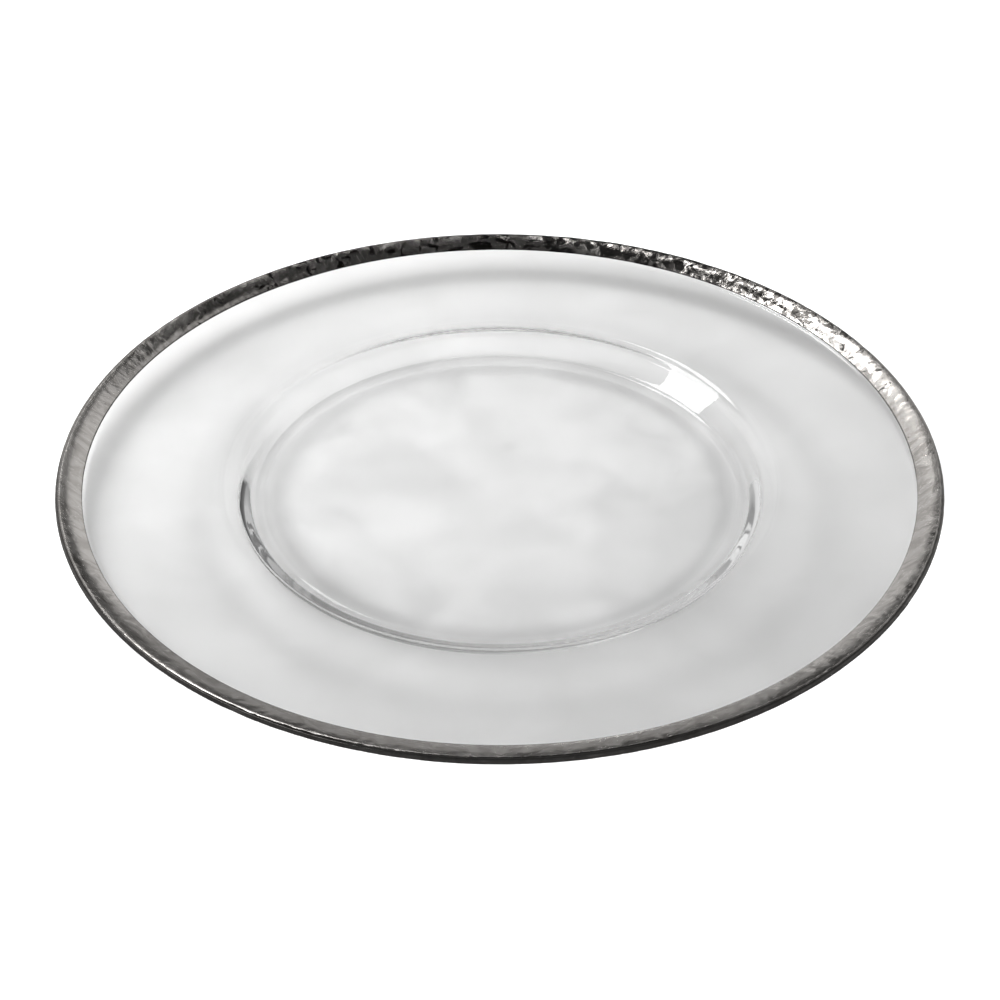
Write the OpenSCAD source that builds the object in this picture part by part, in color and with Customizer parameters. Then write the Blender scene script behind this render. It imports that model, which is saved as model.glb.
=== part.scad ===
// Charger plate: one body of clear pressed glass with a silvered border.
// The origin is on the table under the middle of the plate, and +Z is up.
// Every outline lies in the half plane of radius and height and is turned about Z.

/* [Plate] */
// Diameter over the silvered lip
plate_d = 330; // [300:1:360]
// Height of the silvered lip above the table
plate_h = 16; // [14:0.5:24]
// Thickness of the glass in the floor
glass_t = 4.5; // [3.2:0.1:5.5]

/* [Well] */
// Diameter of the flat floor
floor_d = 174; // [150:1:190]
// Slope of the wall's upper face in degrees
wall_a = 27; // [24:1:34]
// Radius of the bend between the floor and the wall
floor_bend_r = 10; // [4:0.5:12]
// Radius of the bend between the wall and the rim
rim_bend_r = 14; // [10:1:22]

/* [Base] */
// How far the flat base reaches out past the floor's edge
base_step = 6; // [3:0.5:8]
// Width of the flat ring at the edge of the base that touches the table
land_w = 8; // [3:0.5:20]
// Height of the hollow inside that ring
hollow_h = 0.6; // [0.2:0.1:1.2]
// Slope of the wall's lower face in degrees
under_a = 48; // [40:1:52]
// Radius of the bend between the base and the wall's lower face
base_bend_r = 3; // [1:0.5:4]
// Radius of the bend between the wall's lower face and the rim's
under_bend_r = 6; // [3:0.5:8]

/* [Rim] */
// Height of the lip above the inner edge of the rim
rim_drop = 5; // [4:0.5:6]
// Thickness of the glass at the inner edge of the rim
rim_t = 4.3; // [3.2:0.1:4.8]
// Slope in degrees of the rim where it leaves the wall
rim_start_a = 0.5; // [0:0.25:1]
// Radius of the bend between the rim and the turned-up border
border_bend_r = 30; // [15:1:50]

/* [Border] */
// Width of the turned-up border with its lip, seen from above
border_w = 9.8; // [6:0.2:14]
// Slope of the border in degrees
border_a = 16; // [10:1:24]
// Thickness of the glass in the border
border_t = 2.6; // [2:0.1:3.4]

/* [Silver] */
// Thickness of the silver coat
coat_t = 0.2; // [0.1:0.05:0.4]
// Width of the silver that turns back under the border, seen from below
return_w = 7; // [4:0.5:9.5]

/* [Hidden] */
$fn = 180;

// Steps in each arc of the outlines
bend_steps = 6;
rim_steps = 8;
border_bend_steps = 5;
lip_steps = 14;
hollow_steps = 4;

// Unit vectors up along a slope, and down square to it
function along(a) = [cos(a), sin(a)];
function down(a) = [sin(a), -cos(a)];

// A point on an arc, and all its points after the first one.
// A negative radius bends the arc over its centre.
function on_arc(c, r, a) = c + r * down(a);
function arc(c, r, from, to, steps) =
    [for (i = [1:steps]) on_arc(c, r, from + (to - from) * i / steps)];

// Radius of an arc that leaves point p at slope a and runs on into the bend round c
function joining_r(p, a, c, r) =
    let (q = p - c)
    (r * r - q * q) / (2 * (r - q * down(a)));

// Slope of the line that two arcs' centres share, which is where one runs into the other
function shared_a(from, to) = atan2(to[0] - from[0], from[1] - to[1]);

// Length of the straight line at slope a that climbs h together with the bends below and above it
function straight_l(h, foot_r, head_r, a) =
    (h - foot_r * (1 - cos(a)) - head_r * (cos(rim_start_a) - cos(a))) / sin(a);

function reversed(points) = [for (i = [len(points) - 1:-1:0]) points[i]];

// The wall's upper face: floor, bend, straight wall and bend into the rim
rim_h = plate_h - rim_drop;
floor_r = floor_d / 2;
floor_bend_c = [floor_r, glass_t + floor_bend_r];
wall_l = straight_l(rim_h - glass_t, floor_bend_r, rim_bend_r, wall_a);
wall_top = on_arc(floor_bend_c, floor_bend_r, wall_a) + wall_l * along(wall_a);
rim_bend_c = wall_top + rim_bend_r * down(wall_a);

// The wall's lower face in the same way, up from the edge of the base
base_r = floor_r + base_step;
base_bend_c = [base_r, base_bend_r];
under_l = straight_l(rim_h - rim_t, base_bend_r, under_bend_r, under_a);
under_top = on_arc(base_bend_c, base_bend_r, under_a) + under_l * along(under_a);
under_bend_c = under_top + under_bend_r * down(under_a);

// Lip, and the straight border between it and its bend
lip_r = border_t / 2;
lip_c = [plate_d / 2 - coat_t - lip_r, plate_h - coat_t - lip_r];
border_in_r = plate_d / 2 - border_w;
border_l = (lip_c[0] - lip_r * sin(border_a) - border_in_r) / cos(border_a);
border_in = on_arc(lip_c, -lip_r, border_a) - border_l * along(border_a);
border_bend_c = on_arc(border_in, -border_bend_r, border_a);
under_border_r = border_bend_r + border_t;
return_l = border_l + (border_t * sin(border_a) + return_w - border_w) / cos(border_a);

// Upper and lower faces of the rim, each one arc from the wall to the border's bend
top_start = on_arc(rim_bend_c, -rim_bend_r, rim_start_a);
top_r = joining_r(top_start, rim_start_a, border_bend_c, border_bend_r);
top_c = on_arc(top_start, -top_r, rim_start_a);
top_end_a = shared_a(top_c, border_bend_c);
under_start = on_arc(under_bend_c, -under_bend_r, rim_start_a);
under_r = joining_r(under_start, rim_start_a, border_bend_c, under_border_r);
under_c = on_arc(under_start, -under_r, rim_start_a);
under_end_a = shared_a(under_c, border_bend_c);

// Shallow hollow inside the land, one arc over its centre
land_in_r = base_r - land_w;
hollow_r = (land_in_r * land_in_r + hollow_h * hollow_h) / (2 * hollow_h);
hollow_c = [0, hollow_h - hollow_r];
hollow_a = asin(land_in_r / hollow_r);

// The line from the border's inner edge over the lip and back under it to the silver's end.
// t moves it out of the glass, so that t = 0 is the face of the glass itself.
function border_line(t) = concat(
    [border_in - t * down(border_a), on_arc(lip_c, -lip_r - t, border_a)],
    arc(lip_c, lip_r + t, 180 + border_a, border_a, lip_steps),
    [on_arc(lip_c, lip_r + t, border_a) - return_l * along(border_a)]);

module glass_plate() {
    upper = concat(
        [[0, glass_t], [floor_r, glass_t]],
        arc(floor_bend_c, floor_bend_r, 0, wall_a, bend_steps),
        [wall_top],
        arc(rim_bend_c, -rim_bend_r, wall_a, rim_start_a, bend_steps),
        arc(top_c, top_r, rim_start_a, top_end_a, rim_steps),
        arc(border_bend_c, border_bend_r, top_end_a, border_a, border_bend_steps - 1));
    lower = concat(
        [on_arc(border_bend_c, under_border_r, border_a)],
        arc(border_bend_c, under_border_r, border_a, under_end_a, border_bend_steps),
        arc(under_c, under_r, under_end_a, rim_start_a, rim_steps),
        arc(under_bend_c, -under_bend_r, rim_start_a, under_a, bend_steps),
        [on_arc(base_bend_c, base_bend_r, under_a)],
        arc(base_bend_c, base_bend_r, under_a, 0, bend_steps));
    base = concat([[land_in_r, 0]], arc(hollow_c, -hollow_r, -hollow_a, 0, hollow_steps));
    color([0.86, 0.89, 0.88, 0.5])
        rotate_extrude() polygon(concat(upper, border_line(0), lower, base));
}

module silver_band() {
    color([0.67, 0.65, 0.63])
        rotate_extrude() polygon(concat(border_line(coat_t), reversed(border_line(0))));
}

glass_plate();
silver_band();
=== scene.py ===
import math

import bpy
import numpy as np
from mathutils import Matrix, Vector


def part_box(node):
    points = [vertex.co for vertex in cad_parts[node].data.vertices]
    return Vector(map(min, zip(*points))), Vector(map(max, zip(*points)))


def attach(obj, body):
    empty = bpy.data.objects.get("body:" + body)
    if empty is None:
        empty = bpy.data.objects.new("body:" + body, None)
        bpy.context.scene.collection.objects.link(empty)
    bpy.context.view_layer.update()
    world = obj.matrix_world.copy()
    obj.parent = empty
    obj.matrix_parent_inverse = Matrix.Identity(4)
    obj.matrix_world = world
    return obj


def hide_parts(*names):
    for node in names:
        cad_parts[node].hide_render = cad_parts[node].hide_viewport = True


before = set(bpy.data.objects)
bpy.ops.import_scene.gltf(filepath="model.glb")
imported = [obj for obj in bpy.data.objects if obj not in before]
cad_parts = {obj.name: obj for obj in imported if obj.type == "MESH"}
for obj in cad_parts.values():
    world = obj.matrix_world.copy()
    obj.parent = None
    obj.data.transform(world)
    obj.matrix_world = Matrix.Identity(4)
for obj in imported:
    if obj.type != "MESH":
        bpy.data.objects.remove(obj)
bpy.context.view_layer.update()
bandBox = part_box("silver_band")
mm = 0.001
fullTurn = 360
upright = 90
whiteLight = (1, 1, 1, 1)
print("frame loaded")


# lines of the turned outline, in radius and height

def along(slope):
    a = math.radians(slope)
    return np.array([math.cos(a), math.sin(a)])


def below(slope):
    a = math.radians(slope)
    return np.array([math.sin(a), -math.cos(a)])


def straight(start, end, count):
    return [start + (end - start) * i / count for i in range(count + 1)]


def arc(centre, radius, start, end, count):
    return [centre + radius * below(start + (end - start) * i / count) for i in range(count + 1)]


samePoint = 1e-7


def joinLines(*lines):
    joined = []
    for line in lines:
        for point in line:
            if not joined or np.linalg.norm(point - joined[-1]) > samePoint:
                joined.append(point)
    return np.array(joined)


def blendUp(x):
    t = np.clip(x, 0, 1)
    return t * t * (3 - 2 * t)


def outwardNormals(points):
    # on the left of the line's own direction
    ahead = np.gradient(points, axis=0)
    normals = np.stack([-ahead[:, 1], ahead[:, 0]], axis=1)
    return normals / np.linalg.norm(normals, axis=1)[:, None]


def turnedMesh(name, radii, heights, closed):
    # one row of radii and heights for each point of the outline, one column for each segment;
    # a closed outline joins its last row to its first, an open one ends in the middle on both faces
    rows, columns = radii.shape
    turn = np.linspace(0, 2 * math.pi, columns, endpoint=False)
    verts = np.stack([radii * np.cos(turn), radii * np.sin(turn), heights], axis=2).reshape(-1, 3)
    left = np.arange(columns)
    right = np.roll(left, -1)
    here = np.arange(rows if closed else rows - 1)[:, None] * columns
    there = (here + columns) % (rows * columns)
    quads = np.stack([here + left, there + left, there + right, here + right], axis=2).reshape(-1, 4)
    faces = quads.tolist()
    if not closed:
        verts = np.concatenate([verts, [[0, 0, heights[0].mean()], [0, 0, heights[-1].mean()]]])
        top, bottom, last = rows * columns, rows * columns + 1, (rows - 1) * columns
        faces += [[top, a, b] for a, b in zip(left.tolist(), right.tolist())]
        faces += [[bottom, last + b, last + a] for a, b in zip(left.tolist(), right.tolist())]
    mesh = bpy.data.meshes.new(name)
    mesh.from_pydata(verts.tolist(), [], faces)
    mesh.polygons.foreach_set("use_smooth", [True] * len(mesh.polygons))
    mesh.update()
    piece = bpy.data.objects.new(name, mesh)
    bpy.context.scene.collection.objects.link(piece)
    return piece


# the glass, as one outline from the middle of the floor over the lip and back to the middle

plate = {
    # slopes are in degrees, and a bend is the radius of the arc between two faces
    "glass": 4.5 * mm,
    "floorRadius": 87 * mm,
    "floorBend": 10 * mm,
    "wallSlope": 27,
    "rimBend": 14 * mm,
    "rimSlope": 0.5,
    "rimDrop": 5 * mm,
    "rimGlass": 4.3 * mm,
    "baseStep": 6 * mm,
    "baseBend": 3 * mm,
    "underSlope": 48,
    "underBend": 6 * mm,
    "land": 8 * mm,
    "hollow": 0.6 * mm,
    "borderBend": 6 * mm,
    "borderWidth": 9.8 * mm,
    "borderSlope": 25,
    "lipSlope": 7,
    "borderUnder": 16,
    "underBorderBend": 25 * mm,
    "borderGlass": 2.6 * mm,
    "coat": 0.2 * mm,
    "silverReturn": 7 * mm,
    "segments": 540,
    # the first ring round the middle of the floor
    "middleRing": 3 * mm,
    # steps along each stretch of the outline; for a wall its lower bend, its straight and its upper bend
    "floorSteps": 22,
    "wallSteps": (14, 4, 16),
    "rimSteps": 16,
    "borderBendSteps": 6,
    "borderSteps": (12, 12, 5),
    "underBorderSteps": 4,
    "underWallSteps": (10, 4, 12),
    "landSteps": 2,
    "hollowSteps": 14,
}

lipRadius = plate["borderGlass"] / 2
lipCentre = np.array([bandBox[1].x, bandBox[1].z]) - plate["coat"] - lipRadius
borderInner = bandBox[1].x - plate["borderWidth"]
lipTop = lipCentre - lipRadius * below(plate["lipSlope"])
crownRadius = (lipTop[0] - borderInner) / (below(plate["borderSlope"])[0] - below(plate["lipSlope"])[0])
crownCentre = lipTop + crownRadius * below(plate["lipSlope"])
lipUnder = lipCentre + lipRadius * below(plate["borderUnder"])
returnLength = (lipUnder[0] - bandBox[1].x + plate["silverReturn"]) / along(plate["borderUnder"])[0]


def borderLine(out, counts):
    # from the silver's inner edge over the lip to its end underneath, out of the glass face by out
    topCount, lipCount, returnCount = counts
    lip = arc(lipCentre, lipRadius + out, fullTurn / 2 + plate["lipSlope"], plate["borderUnder"], lipCount)
    return joinLines(
        arc(crownCentre, -crownRadius - out, plate["borderSlope"], plate["lipSlope"], topCount),
        lip,
        straight(lip[-1], lip[-1] - returnLength * along(plate["borderUnder"]), returnCount))


def joiningRadius(point, slope, centre, radius):
    # of the arc that leaves point at slope and runs on into the bend round centre
    q = point - centre
    return (radius ** 2 - q @ q) / (2 * (radius - q @ below(slope)))


def rimArc(start, slope, centre, radius, count):
    size = joiningRadius(start, slope, centre, radius)
    middle = start - size * below(slope)
    end = math.degrees(math.atan2(centre[0] - middle[0], middle[1] - centre[1]))
    return arc(middle, size, slope, end, count), end


def wallLine(foot, footBend, slope, headBend, headSlope, climb, counts):
    # a flat line's end, the bend up from it, the straight wall and the bend over into the rim
    bends = footBend * (1 - along(slope)[0]) + headBend * (along(headSlope)[0] - along(slope)[0])
    footCentre = foot + np.array([0, footBend])
    wallTop = footCentre + footBend * below(slope) + (climb - bends) / along(slope)[1] * along(slope)
    headCentre = wallTop + headBend * below(slope)
    return joinLines(
        arc(footCentre, footBend, 0, slope, counts[0]),
        straight(footCentre + footBend * below(slope), wallTop, counts[1]),
        arc(headCentre, -headBend, slope, headSlope, counts[2]))


def glassOutline():
    p = plate
    rimHeight = bandBox[1].z - p["rimDrop"]
    line = borderLine(0, p["borderSteps"])
    borderBendCentre = line[0] - p["borderBend"] * below(p["borderSlope"])
    floorEdge = np.array([p["floorRadius"], p["glass"]])
    wall = wallLine(
        floorEdge, p["floorBend"], p["wallSlope"], p["rimBend"], p["rimSlope"],
        rimHeight - p["glass"], p["wallSteps"])
    rimTop, topEnd = rimArc(wall[-1], p["rimSlope"], borderBendCentre, p["borderBend"], p["rimSteps"])
    top = joinLines(
        straight(np.array([p["middleRing"], p["glass"]]), floorEdge, p["floorSteps"]),
        wall,
        rimTop,
        arc(borderBendCentre, p["borderBend"], topEnd, p["borderSlope"], p["borderBendSteps"])[:-1])

    baseEdge = np.array([p["floorRadius"] + p["baseStep"], 0])
    underWall = wallLine(
        baseEdge, p["baseBend"], p["underSlope"], p["underBend"], p["rimSlope"],
        rimHeight - p["rimGlass"], p["underWallSteps"])
    underBend = p["underBorderBend"]
    underBendCentre = line[-1] - underBend * below(p["borderUnder"])
    rimUnder, underEnd = rimArc(underWall[-1], p["rimSlope"], underBendCentre, underBend, p["rimSteps"])
    landInner = baseEdge[0] - p["land"]
    hollowRadius = (landInner ** 2 + p["hollow"] ** 2) / (2 * p["hollow"])
    hollowCentre = np.array([0, p["hollow"] - hollowRadius])
    hollowAngle = math.degrees(math.asin(landInner / hollowRadius))
    under = joinLines(
        arc(underBendCentre, underBend, p["borderUnder"], underEnd, p["underBorderSteps"]),
        rimUnder[::-1],
        underWall[::-1],
        straight(baseEdge, np.array([landInner, 0]), p["landSteps"]),
        arc(hollowCentre, -hollowRadius, -hollowAngle, 0, p["hollowSteps"])[:-1])
    return top, line, under


# soft ripples of pressed glass, as a sum of plane waves

ripple = {
    "waves": 26,
    "shortest": 14 * mm,
    "longest": 70 * mm,
    "topHeight": 0.03 * mm,
    "underHeight": 0.03 * mm,
    # the upper face is calm this close to the border
    "calmEdge": 12 * mm,
    # and the lower one round the land: distance over which the ripples rise, and the share of it left calm
    "calmLand": (9 * mm, 0.5),
    "seed": 11,
}


def rippleField(x, y, seed):
    draw = np.random.default_rng(seed)
    total = np.zeros_like(x)
    for _ in range(ripple["waves"]):
        length = ripple["shortest"] * (ripple["longest"] / ripple["shortest"]) ** draw.random()
        heading, phase = draw.random(2) * 2 * math.pi
        total += np.sin((x * math.cos(heading) + y * math.sin(heading)) * 2 * math.pi / length + phase) \
            * length / ripple["longest"]
    return total / math.sqrt(ripple["waves"])


def buildGlass():
    top, line, under = glassOutline()
    points = np.concatenate([top, line, under])
    normals = outwardNormals(points)
    turn = np.linspace(0, 2 * math.pi, plate["segments"], endpoint=False)
    radius, height = points[:, 0][:, None], points[:, 1][:, None]
    x, y = radius * np.cos(turn), radius * np.sin(turn)
    shift = np.zeros_like(x)

    onTop = slice(0, len(top))
    calmEdge = blendUp((borderInner - radius[onTop]) / ripple["calmEdge"])
    shift[onTop] = ripple["topHeight"] * rippleField(x[onTop], y[onTop], ripple["seed"]) * calmEdge
    onUnder = slice(len(top) + len(line), len(points))
    landMiddle = plate["floorRadius"] + plate["baseStep"] - plate["land"] / 2
    rise, calm = ripple["calmLand"]
    offLand = blendUp(np.abs(radius[onUnder] - landMiddle) / rise - calm)
    underField = rippleField(x[onUnder], y[onUnder], ripple["seed"] + 1)
    shift[onUnder] = ripple["underHeight"] * underField * offLand

    run = lengthsAlong(line)
    onBorder = slice(len(top), len(top) + len(line))
    shift[onBorder] = -hammer["bed"] * edgeFade(run)[:, None]

    return turnedMesh(
        "glass_body",
        radius + shift * normals[:, 0][:, None],
        height + shift * normals[:, 1][:, None],
        False)


# the silver, hammered from outside, so that every dent goes in from the turned outline

hammer = {
    "segments": 2160,
    "thickness": 0.14 * mm,
    "deepest": 0.15 * mm,
    # how far the glass lies back under the silver, and the strip at both edges where the marks fade out
    "bed": 0.14 * mm,
    "edge": 1.2 * mm,
    # how many, half their width, their length over their width, their depth, their lean and its spread
    "creases": (1150, (1.0 * mm, 2.6 * mm), (2.0, 4.5), (0.010 * mm, 0.100 * mm), 38, 18),
    "facets": (900, (1.5 * mm, 3.4 * mm), (1.0, 1.9), (0.004 * mm, 0.055 * mm), 38, 40),
    "nicks": (2600, (0.6 * mm, 1.1 * mm), (1.0, 2.2), (0.003 * mm, 0.045 * mm), 38, 50),
    # how hard the border is worked, by angle round the plate in degrees
    "vigour": [
        (0, 0.65), (25, 0.8), (40, 1.1), (60, 1.2), (80, 1.0), (130, 0.9), (150, 0.6), (165, 0.3),
        (195, 0.25), (215, 0.5), (240, 0.8), (270, 0.5), (300, 0.8), (330, 0.8), (360, 0.5)],
    # how much rarer deep marks are, and how sharply the lean changes sides at the front and the back
    "rarity": 1.5,
    "sideTurn": 3,
    "seed": 5,
    # steps over the border's top, round the lip and along the return
    "outerSteps": (17, 10, 5),
    "innerSteps": (2, 5, 2),
}


def edgeFade(run):
    return blendUp(run / hammer["edge"]) * blendUp((run[-1] - run) / hammer["edge"])


def lengthsAlong(line):
    return np.concatenate([[0], np.cumsum(np.linalg.norm(np.diff(line, axis=0), axis=1))])


def stamp(depth, run, draw, kind, added):
    # lays marks over the band: soft ones add up, hard ones only go as deep as they reach below the others
    count, sizes, stretches, depths, lean, spread = hammer[kind]
    columns = depth.shape[1]
    girth = 2 * math.pi * bandBox[1].x
    step = girth / columns
    angles, vigour = zip(*hammer["vigour"])
    for _ in range(count):
        middle, at = draw.random() * girth, draw.random() * run[-1]
        turn = middle / girth * fullTurn
        size = sizes[0] + (sizes[1] - sizes[0]) * draw.random()
        stretch = stretches[0] + (stretches[1] - stretches[0]) * draw.random()
        deep = depths[0] + (depths[1] - depths[0]) * draw.random() ** hammer["rarity"]
        deep *= np.interp(turn, angles, vigour)
        side = np.clip(hammer["sideTurn"] * math.cos(math.radians(turn)), -1, 1)
        heading = math.radians(lean * side + draw.normal() * spread)
        reach = int(size * stretch / step) + 1
        near = np.arange(int(middle / step) - reach, int(middle / step) + reach + 1)
        across = (near * step - middle)[None, :]
        up = (run - at)[:, None]
        a = (across * math.cos(heading) + up * math.sin(heading)) / (size * stretch)
        b = (up * math.cos(heading) - across * math.sin(heading)) / size
        bowl = np.clip(1 - a * a - b * b, 0, 1)
        spot = near % columns
        if added:
            depth[:, spot] += deep * bowl * bowl
        else:
            depth[:, spot] = np.maximum(depth[:, spot], deep * bowl)


def buildBand():
    outer = borderLine(plate["coat"], hammer["outerSteps"])
    inner = borderLine(plate["coat"] - hammer["thickness"], hammer["innerSteps"])
    outerRun = lengthsAlong(outer)
    innerRun = lengthsAlong(inner)
    innerRun *= outerRun[-1] / innerRun[-1]

    draw = np.random.default_rng(hammer["seed"])
    facets = np.zeros((len(outer), hammer["segments"]))
    stamp(facets, outerRun, draw, "facets", False)
    marks = np.zeros_like(facets)
    stamp(marks, outerRun, draw, "creases", True)
    stamp(marks, outerRun, draw, "nicks", True)
    depth = hammer["deepest"] * np.tanh((facets + marks) / hammer["deepest"]) * edgeFade(outerRun)[:, None]
    innerDepth = np.array([np.interp(innerRun, outerRun, column) for column in depth.T]).T

    outerNormals = outwardNormals(outer)
    innerNormals = outwardNormals(inner)
    rows = np.concatenate([outer, inner[::-1]])
    normals = np.concatenate([outerNormals, innerNormals[::-1]])
    allDepth = np.concatenate([depth, innerDepth[::-1]])
    return turnedMesh(
        "silver_border",
        rows[:, 0][:, None] - allDepth * normals[:, 0][:, None],
        rows[:, 1][:, None] - allDepth * normals[:, 1][:, None],
        True)


# materials

def newMaterial(name):
    material = bpy.data.materials.new(name)
    material.use_nodes = True
    material.node_tree.nodes.clear()
    return material, material.node_tree


def put(tree, kind, **values):
    # adds a node; a value whose name is a socket's goes into the socket
    node = tree.nodes.new(kind)
    for key, value in values.items():
        if key in node.inputs:
            node.inputs[key].default_value = value
        else:
            setattr(node, key, value)
    return node


def reckon(tree, operation, *values):
    # one step of arithmetic on sockets and plain numbers
    step = put(tree, "ShaderNodeMath", operation=operation)
    for socket, value in zip(step.inputs, values):
        if isinstance(value, (int, float)):
            socket.default_value = value
        else:
            tree.links.new(value, socket)
    return step.outputs[0]


def greyRamp(tree, value, stops):
    # the brightness at a value, out of pairs of value and brightness in rising order
    first, last = stops[0][0], stops[-1][0]
    ramp = put(tree, "ShaderNodeValToRGB")
    elements = ramp.color_ramp.elements
    while len(elements) < len(stops):
        elements.new(0.5)
    for element, (position, level) in zip(elements, stops):
        element.position = (position - first) / (last - first)
        element.color = (level, level, level, 1)
    share = reckon(tree, "DIVIDE", reckon(tree, "SUBTRACT", value, first), last - first)
    tree.links.new(share, ramp.inputs["Fac"])
    return ramp.outputs["Color"]


def carryOver(tree, value, source, target, smooth):
    # takes a value from one span over to another
    step = put(tree, "ShaderNodeMapRange", interpolation_type="SMOOTHSTEP" if smooth else "LINEAR")
    step.inputs["From Min"].default_value, step.inputs["From Max"].default_value = source
    step.inputs["To Min"].default_value, step.inputs["To Max"].default_value = target
    tree.links.new(value, step.inputs["Value"])
    return step.outputs["Result"]


def blendColors(tree, share, first, second):
    # from the first colour, a plain one or a socket, to the second, which is plain
    mix = put(tree, "ShaderNodeMix", data_type="RGBA")
    tree.links.new(share, mix.inputs["Factor"])
    if isinstance(first, tuple):
        mix.inputs[6].default_value = first
    else:
        tree.links.new(first, mix.inputs[6])
    mix.inputs[7].default_value = second
    return mix.outputs[2]


def scaled(tree, color, factor):
    step = put(tree, "ShaderNodeVectorMath", operation="SCALE")
    tree.links.new(color, step.inputs[0])
    tree.links.new(factor, step.inputs["Scale"])
    return step.outputs[0]


def noise(tree, where, values):
    step = put(tree, "ShaderNodeTexNoise", **values)
    tree.links.new(where, step.inputs["Vector"])
    return step.outputs["Fac"]


def radiusOf(tree, where):
    # how far out from the plate's axis
    flat = put(tree, "ShaderNodeVectorMath", operation="MULTIPLY")
    flat.inputs[1].default_value = (1, 1, 0)
    reach = put(tree, "ShaderNodeVectorMath", operation="LENGTH")
    tree.links.new(where, flat.inputs[0])
    tree.links.new(flat.outputs[0], reach.inputs[0])
    return reach.outputs["Value"]


def turnOf(tree, place, first):
    # the angle round the upright axis in degrees, counted on from the first one
    turn = reckon(tree, "DEGREES", reckon(tree, "ARCTAN2", place.outputs["Y"], place.outputs["X"]))
    return reckon(tree, "WRAP", turn, first + fullTurn, first)


def mixShaders(tree, share, first, second):
    # the second shader for the rays that the share picks out, the first for all others
    mix = put(tree, "ShaderNodeMixShader")
    tree.links.new(share, mix.inputs[0])
    tree.links.new(first.outputs[0], mix.inputs[1])
    tree.links.new(second.outputs[0], mix.inputs[2])
    return mix


glassLook = {
    "clear": (0.985, 0.987, 0.985, 1),
    "cloudy": (0.94, 0.943, 0.939, 1),
    "clouds": {"Scale": 26, "Detail": 3, "Roughness": 0.5, "Distortion": 1.2},
    "cloudSpan": (0.35, 0.75),
    "roughness": 0.012,
    "ior": 1.5,
    "pores": {"Scale": 160, "Detail": 3},
    "poreBump": {"Strength": 0.05, "Distance": 0.4 * mm},
    # how much light each face lets down to the table, by radius
    "shade": [
        (0 * mm, 0.95), (78 * mm, 0.95), (84 * mm, 0.81), (88 * mm, 0.92), (92 * mm, 0.81),
        (98 * mm, 0.90), (104 * mm, 0.98), (109 * mm, 0.97), (116 * mm, 0.84), (125 * mm, 0.95),
        (150 * mm, 0.97), (170 * mm, 0.97)],
    # uneven light on the table: its patches and their strength
    "patches": {"Scale": 40, "Detail": 4, "Distortion": 0.8},
    "mottle": 0.32,
    # the front part lets down less: where that begins and is complete, its waves and its depth
    "frontDip": (-34 * mm, -62 * mm, 24 * mm, 0.05),
    # painted glow, in place of light carried inside the glass: a path that has turned inside the glass this
    # often takes on this much glow once, at the left and at the right edge of the well
    "innerTurns": 6,
    "paintedInnerGlow": (0.02, 0.80),
    # a painted darker spot in the glass near the middle of the floor, standing in for the shade of a small
    # dimple: place, reach and brightness
    "dimpleShade": ((3.7 * mm, 27 * mm, 4.5 * mm), 5 * mm, 0.90),
    # painted shade: a darker arc in the wall at the front left, in place of the dark stroke seen there
    # through the glass: brightness by radius, and where it begins and is full from right to left, on a line
    # that leans by this much
    "strokeShade": [(72 * mm, 0), (84 * mm, 1), (98 * mm, 1), (110 * mm, 0)],
    "strokeShadeSpan": (-62 * mm, -88 * mm),
    "strokeShadeLean": 0.5,
    "strokeShadeDepth": 0.12,
}


def glassTintAndShade(tree, where, sides, radius):
    # the glass's own cloudy tint, darkened by painted shade at a dimple and along the stroke in the wall
    look = glassLook
    clouds = carryOver(tree, noise(tree, where, look["clouds"]), look["cloudSpan"], (0, 1), False)
    tint = blendColors(tree, clouds, look["clear"], look["cloudy"])

    # painted shade: the glass darkens round one spot of the floor, in place of a dimple's refraction
    place, dimpleReach, dim = look["dimpleShade"]
    gap = put(tree, "ShaderNodeVectorMath", operation="DISTANCE")
    gap.inputs[1].default_value = place
    tree.links.new(where, gap.inputs[0])
    dimpleShaded = scaled(tree, tint, carryOver(tree, gap.outputs["Value"], (0, dimpleReach), (dim, 1), True))

    # painted shade of the dark stroke in the wall, darkening the glass's colour along a leaning line
    line = reckon(tree, "MULTIPLY_ADD", sides.outputs["Y"], look["strokeShadeLean"], sides.outputs["X"])
    strokeShade = reckon(
        tree, "MULTIPLY",
        carryOver(tree, line, look["strokeShadeSpan"], (0, look["strokeShadeDepth"]), True),
        greyRamp(tree, radius, look["strokeShade"]))
    return scaled(tree, dimpleShaded, reckon(tree, "SUBTRACT", 1, strokeShade))


def lightLetDown(tree, where, sides, radius):
    # the wall and the shoulder gather light in rings on the table
    look = glassLook
    patches = noise(tree, where, look["patches"])
    start, complete, waves, depth = look["frontDip"]
    wavy = reckon(tree, "ADD", sides.outputs["Y"], reckon(tree, "MULTIPLY_ADD", patches, waves * 2, -waves))
    front = carryOver(tree, wavy, (start, complete), (0, depth), True)
    dip = reckon(tree, "MULTIPLY", patches, look["mottle"])
    uneven = reckon(tree, "SUBTRACT", 1 + look["mottle"] / 2, dip)
    rings = greyRamp(tree, radius, look["shade"])
    return scaled(tree, rings, reckon(tree, "SUBTRACT", uneven, front))


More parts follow.
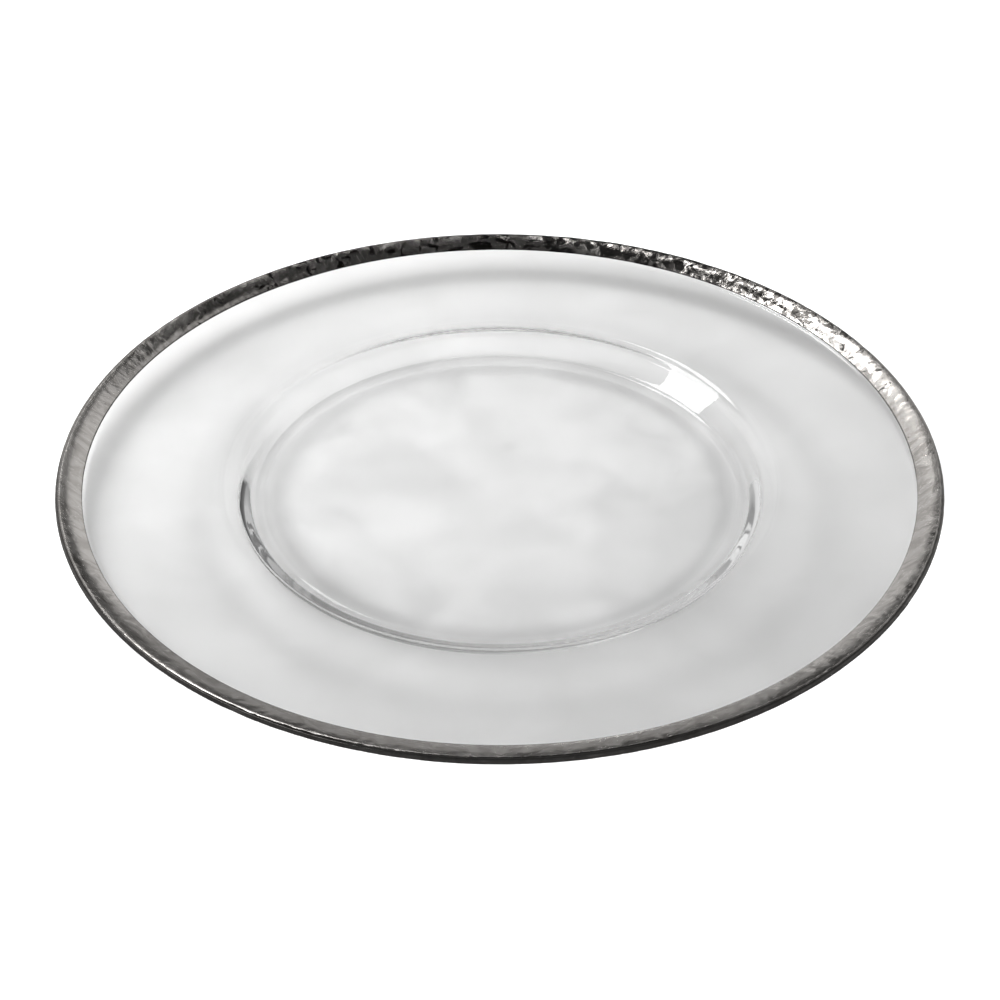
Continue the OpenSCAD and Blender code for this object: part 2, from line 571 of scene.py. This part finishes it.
def pressedGlass():
    look = glassLook
    material, tree = newMaterial("pressed clear glass")
    link = tree.links.new
    where = put(tree, "ShaderNodeTexCoord").outputs["Object"]
    sides = put(tree, "ShaderNodeSeparateXYZ")
    link(where, sides.inputs[0])
    radius = radiusOf(tree, where)

    body = put(tree, "ShaderNodeBsdfPrincipled", Roughness=look["roughness"], IOR=look["ior"])
    body.inputs["Transmission Weight"].default_value = 1
    link(glassTintAndShade(tree, where, sides, radius), body.inputs["Base Color"])
    bump = put(tree, "ShaderNodeBump", **look["poreBump"])
    link(noise(tree, where, look["pores"]), bump.inputs["Height"])
    link(bump.outputs["Normal"], body.inputs["Normal"])

    # a painted glow stands in for light carried along inside the glass, so that it doesn't end in black; the
    # turns are compared to within a half
    path = put(tree, "ShaderNodeLightPath")
    glow = carryOver(
        tree, sides.outputs["X"], (-plate["floorRadius"], plate["floorRadius"]), look["paintedInnerGlow"], False)
    carried = reckon(tree, "COMPARE", path.outputs["Ray Depth"], look["innerTurns"], 0.5)
    body.inputs["Emission Color"].default_value = whiteLight
    link(reckon(tree, "MULTIPLY", carried, glow), body.inputs["Emission Strength"])

    seeThrough = put(tree, "ShaderNodeBsdfTransparent")
    link(lightLetDown(tree, where, sides, radius), seeThrough.inputs["Color"])
    forDiffuse = mixShaders(tree, path.outputs["Is Diffuse Ray"], body, seeThrough)
    forShadow = mixShaders(tree, path.outputs["Is Shadow Ray"], forDiffuse, seeThrough)
    out = put(tree, "ShaderNodeOutputMaterial")
    link(forShadow.outputs[0], out.inputs["Surface"])
    return material


silverLook = {
    "bright": (0.79, 0.76, 0.73, 1),
    "dull": (0.61, 0.58, 0.55, 1),
    "dullSpan": (0.36, 0.68),
    # streaks lean outwards to the back on both sides: how closely they lie along and across their length
    "streakLean": 40,
    "streakScale": (85, 210),
    "streaks": {"Scale": 1, "Detail": 4, "Roughness": 0.6, "Distortion": 1.5},
    "streakBump": {"Strength": 0.2, "Distance": 0.4 * mm},
    # dark tarnish in small patches, and how little of it there is by angle round the plate
    "tarnish": (0.10, 0.095, 0.09, 1),
    "specks": {"Scale": 190, "Detail": 5, "Roughness": 0.6, "Distortion": 1.2},
    "speckEdge": 0.05,
    "tarnishFrom": [
        (0, 0.70), (15, 0.64), (30, 0.54), (50, 0.47), (75, 0.46), (90, 0.52), (125, 0.56),
        (150, 0.66), (165, 0.80), (330, 0.80), (360, 0.70)],
    # painted shade and highlight at the lip, dark and bright lines in place of its reflections: how bright
    # the silver is towards the lip, by radius
    "paintedLipLines": [
        (163.3 * mm, 1.0), (163.5 * mm, 0.45), (163.85 * mm, 0.45), (164.1 * mm, 0.9),
        (164.6 * mm, 0.7), (164.9 * mm, 0.14)],
    "sheen": {"Scale": 45, "Detail": 4, "Roughness": 0.6},
    "sheenSpan": (0.3, 0.7),
    "roughness": (0.09, 0.24),
}


def streaksOf(tree, place):
    look = silverLook
    side = reckon(tree, "ABSOLUTE", place.outputs["X"])
    back = place.outputs["Y"]
    level, steep = along(look["streakLean"]).tolist()
    lengthwise = reckon(
        tree, "ADD", reckon(tree, "MULTIPLY", side, level), reckon(tree, "MULTIPLY", back, steep))
    across = reckon(
        tree, "SUBTRACT", reckon(tree, "MULTIPLY", back, level), reckon(tree, "MULTIPLY", side, steep))
    flow = put(tree, "ShaderNodeCombineXYZ")
    tree.links.new(reckon(tree, "MULTIPLY", lengthwise, look["streakScale"][0]), flow.inputs["X"])
    tree.links.new(reckon(tree, "MULTIPLY", across, look["streakScale"][1]), flow.inputs["Y"])
    return noise(tree, flow.outputs[0], look["streaks"])


def tarnished(tree, where, place, color):
    look = silverLook
    least = greyRamp(tree, turnOf(tree, place, 0), look["tarnishFrom"])
    over = reckon(tree, "SUBTRACT", noise(tree, where, look["specks"]), least)
    cover = carryOver(tree, over, (0, look["speckEdge"]), (0, 1), True)
    return blendColors(tree, cover, color, look["tarnish"])


def hammeredSilver():
    look = silverLook
    material, tree = newMaterial("hammered silver")
    link = tree.links.new
    where = put(tree, "ShaderNodeTexCoord").outputs["Object"]
    place = put(tree, "ShaderNodeSeparateXYZ")
    link(where, place.inputs[0])

    streaks = streaksOf(tree, place)
    worn = carryOver(tree, streaks, look["dullSpan"], (0, 1), True)
    tint = tarnished(tree, where, place, blendColors(tree, worn, look["bright"], look["dull"]))
    dimmed = put(tree, "ShaderNodeVectorMath", operation="MULTIPLY")
    link(tint, dimmed.inputs[0])
    # painted dark and bright lines at the lip, multiplied into the silver's colour
    link(greyRamp(tree, radiusOf(tree, where), look["paintedLipLines"]), dimmed.inputs[1])

    bump = put(tree, "ShaderNodeBump", **look["streakBump"])
    link(streaks, bump.inputs["Height"])
    sheen = carryOver(tree, noise(tree, where, look["sheen"]), look["sheenSpan"], look["roughness"], False)
    metal = put(tree, "ShaderNodeBsdfPrincipled", Metallic=1)
    link(dimmed.outputs[0], metal.inputs["Base Color"])
    link(sheen, metal.inputs["Roughness"])
    link(bump.outputs["Normal"], metal.inputs["Normal"])
    out = put(tree, "ShaderNodeOutputMaterial")
    link(metal.outputs[0], out.inputs["Surface"])
    return material


# studio

studio = {
    # azimuth, elevation, distance, roll, size and power
    "key": (127.7, 54.2, 2.586, -10.5, (0.668, 0.504), 7.6),
    "soft": (128, 38, 1.6, 0, (0.9, 0.9), 6.2),
    "side": (144, 38, 0.66, 0, (0.72, 0.72), 4.7),
    # soft light from all round
    "fill": 0.47,
    "floorColor": (0.80, 0.80, 0.80, 1),
    # the floor is lifted by this much for the camera and through the glass, and metal mirrors it this bright
    "floorWhite": 0.62,
    "floorGlow": 0.03,
    "floorMirrored": 0.34,
    "floorReach": 6.0,
    "floorDrop": 0.3 * mm,
    # what metal and the glass mirror: brightness at each share of the way from the horizon to straight up
    "backdrop": [(0.0, 0.14), (0.24, 0.12), (0.30, 0.06), (0.62, 0.03), (1.0, 0.05)],
    # bright cards in it: azimuths, elevations, soft edge and brightness; and how round their soft edges are
    "cards": [
        (56, 85, -5, 47, 5, 0.60),
        (48, 66, 38, 64, 6, 0.45),
        (80, 100, -12, 24, 5, 0.27),
        (85, 95, 33, 43, 3, 0.40),
        (92, 126, -5, 34, 4, 0.52),
        (93, 127, 30, 45, 3, 0.74),
        (95, 114, 45, 52, 1.5, 7.5),
        (150, 235, 36, 42, 2, 0.85),
    ],
    "cardRound": 0.5,
    # azimuths in the backdrop are counted on from here
    "firstAzimuth": 50,
    # what is seen through the wall of the well: brightness by azimuth, once round
    "around": [
        (50, 0.09), (62, 0.20), (92, 0.30), (108, 0.55), (118, 0.85), (215, 0.85), (320, 0.80),
        (335, 0.10), (410, 0.09)],
}

eye = {
    "azimuth": -90,
    "elevation": 36.67,
    "distance": 1.0678,
    "lens": 102.0,
    "sensor": 36,
    "target": (0.1 * mm, -1.53 * mm, 0),
    # nearest and farthest distance seen
    "clip": (0.05, 50),
}


def towards(azimuth, elevation):
    a, e = math.radians(azimuth), math.radians(elevation)
    return Vector((math.cos(a) * math.cos(e), math.sin(a) * math.cos(e), math.sin(e)))


def aim(thing, target):
    thing.rotation_euler = (Vector(target) - thing.location).to_track_quat("-Z", "Y").to_euler()


def placeCamera():
    data = bpy.data.cameras.new("camera")
    camera = bpy.data.objects.new("camera", data)
    bpy.context.scene.collection.objects.link(camera)
    camera.location = towards(eye["azimuth"], eye["elevation"]) * eye["distance"]
    aim(camera, eye["target"])
    data.lens = eye["lens"]
    data.sensor_width = eye["sensor"]
    data.clip_start, data.clip_end = eye["clip"]
    bpy.context.scene.camera = camera


def hangLamp(name, mirrored):
    azimuth, elevation, distance, roll, size, power = studio[name]
    data = bpy.data.lights.new(name, "AREA")
    data.shape = "RECTANGLE"
    data.size, data.size_y = size
    data.energy = power
    lamp = bpy.data.objects.new(name, data)
    bpy.context.scene.collection.objects.link(lamp)
    lamp.location = towards(azimuth, elevation) * distance
    aim(lamp, (0, 0, 0))
    lamp.rotation_euler.rotate_axis("Z", math.radians(roll))
    lamp.visible_glossy = mirrored
    lamp.visible_transmission = mirrored


def fromEdge(tree, value, start, edge):
    # 0 before the start and 1 once past the soft edge
    share = reckon(tree, "DIVIDE", reckon(tree, "SUBTRACT", value, start), edge)
    return reckon(tree, "MAXIMUM", reckon(tree, "SMOOTH_MIN", share, 1, studio["cardRound"]), 0)


def between(tree, value, low, high, edge):
    # 1 between low and high, with a soft edge on both sides
    return reckon(tree, "MULTIPLY", fromEdge(tree, value, low, edge), fromEdge(tree, high, value, edge))


def mirroredBackdrop(tree, azimuth, elevation):
    # the brightest of the backdrop and its cards
    seen = greyRamp(tree, reckon(tree, "DIVIDE", elevation, upright), studio["backdrop"])
    for left, right, low, high, edge, level in studio["cards"]:
        inside = reckon(
            tree, "MULTIPLY",
            between(tree, azimuth, left, right, edge), between(tree, elevation, low, high, edge))
        seen = reckon(tree, "MAXIMUM", seen, reckon(tree, "MULTIPLY", inside, level))
    return seen


def paintWorld():
    world = bpy.data.worlds.new("studio")
    bpy.context.scene.world = world
    world.use_nodes = True
    world.cycles.sampling_method = "NONE"
    tree = world.node_tree
    tree.nodes.clear()
    link = tree.links.new
    split = put(tree, "ShaderNodeSeparateXYZ")
    link(put(tree, "ShaderNodeTexCoord").outputs["Generated"], split.inputs[0])
    elevation = reckon(tree, "DEGREES", reckon(tree, "ARCSINE", split.outputs["Z"]))
    azimuth = turnOf(tree, split, studio["firstAzimuth"])

    fill = put(tree, "ShaderNodeBackground", Color=whiteLight, Strength=studio["fill"])
    mirrored = put(tree, "ShaderNodeBackground", Color=whiteLight)
    link(mirroredBackdrop(tree, azimuth, elevation), mirrored.inputs["Strength"])
    through = put(tree, "ShaderNodeBackground", Color=whiteLight)
    link(greyRamp(tree, azimuth, studio["around"]), through.inputs["Strength"])
    white = put(tree, "ShaderNodeBackground", Color=whiteLight, Strength=1)
    path = put(tree, "ShaderNodeLightPath")
    forMirrors = mixShaders(tree, path.outputs["Is Glossy Ray"], fill, mirrored)
    forClear = mixShaders(tree, path.outputs["Is Transmission Ray"], forMirrors, through)
    forCamera = mixShaders(tree, path.outputs["Is Camera Ray"], forClear, white)
    out = put(tree, "ShaderNodeOutputWorld")
    link(forCamera.outputs[0], out.inputs["Surface"])


def paleFloor():
    material, tree = newMaterial("pale floor")
    link = tree.links.new
    path = put(tree, "ShaderNodeLightPath")
    paint = put(tree, "ShaderNodeBsdfDiffuse", Color=studio["floorColor"])
    glow = put(tree, "ShaderNodeEmission", Color=whiteLight)
    direct = reckon(tree, "MULTIPLY", path.outputs["Is Camera Ray"], studio["floorWhite"])
    through = reckon(tree, "MULTIPLY", path.outputs["Is Transmission Ray"], studio["floorGlow"])
    link(reckon(tree, "ADD", direct, through), glow.inputs["Strength"])
    both = put(tree, "ShaderNodeAddShader")
    link(paint.outputs[0], both.inputs[0])
    link(glow.outputs[0], both.inputs[1])

    # a ray through glass can be glossy too, so the transmission mix comes after the glossy one
    mirrored = put(tree, "ShaderNodeEmission", Color=whiteLight, Strength=studio["floorMirrored"])
    forMirrors = mixShaders(tree, path.outputs["Is Glossy Ray"], both, mirrored)
    lit = mixShaders(tree, path.outputs["Is Transmission Ray"], forMirrors, both)
    # seen from below the floor isn't there
    shape = put(tree, "ShaderNodeNewGeometry")
    clear = put(tree, "ShaderNodeBsdfTransparent")
    side = mixShaders(tree, shape.outputs["Backfacing"], lit, clear)
    out = put(tree, "ShaderNodeOutputMaterial")
    link(side.outputs[0], out.inputs["Surface"])
    return material


def layFloor():
    mesh = bpy.data.meshes.new("floor")
    r, height = studio["floorReach"], -studio["floorDrop"]
    corners = [(-r, -r, height), (r, -r, height), (r, r, height), (-r, r, height)]
    mesh.from_pydata(corners, [], [(0, 1, 2, 3)])
    mesh.materials.append(paleFloor())
    floor = bpy.data.objects.new("floor", mesh)
    bpy.context.scene.collection.objects.link(floor)


placeCamera()
hangLamp("key", True)
hangLamp("soft", False)
hangLamp("side", False)
paintWorld()
layFloor()
bpy.context.scene.view_settings.view_transform = "Standard"
print("studio ready")

glassBody = buildGlass()
glassBody.data.materials.append(pressedGlass())
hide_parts("glass_plate")
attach(glassBody, "root")
print("glass ready")

silverBorder = buildBand()
silverBorder.data.materials.append(hammeredSilver())
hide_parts("silver_band")
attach(silverBorder, "root")
print("silver ready")
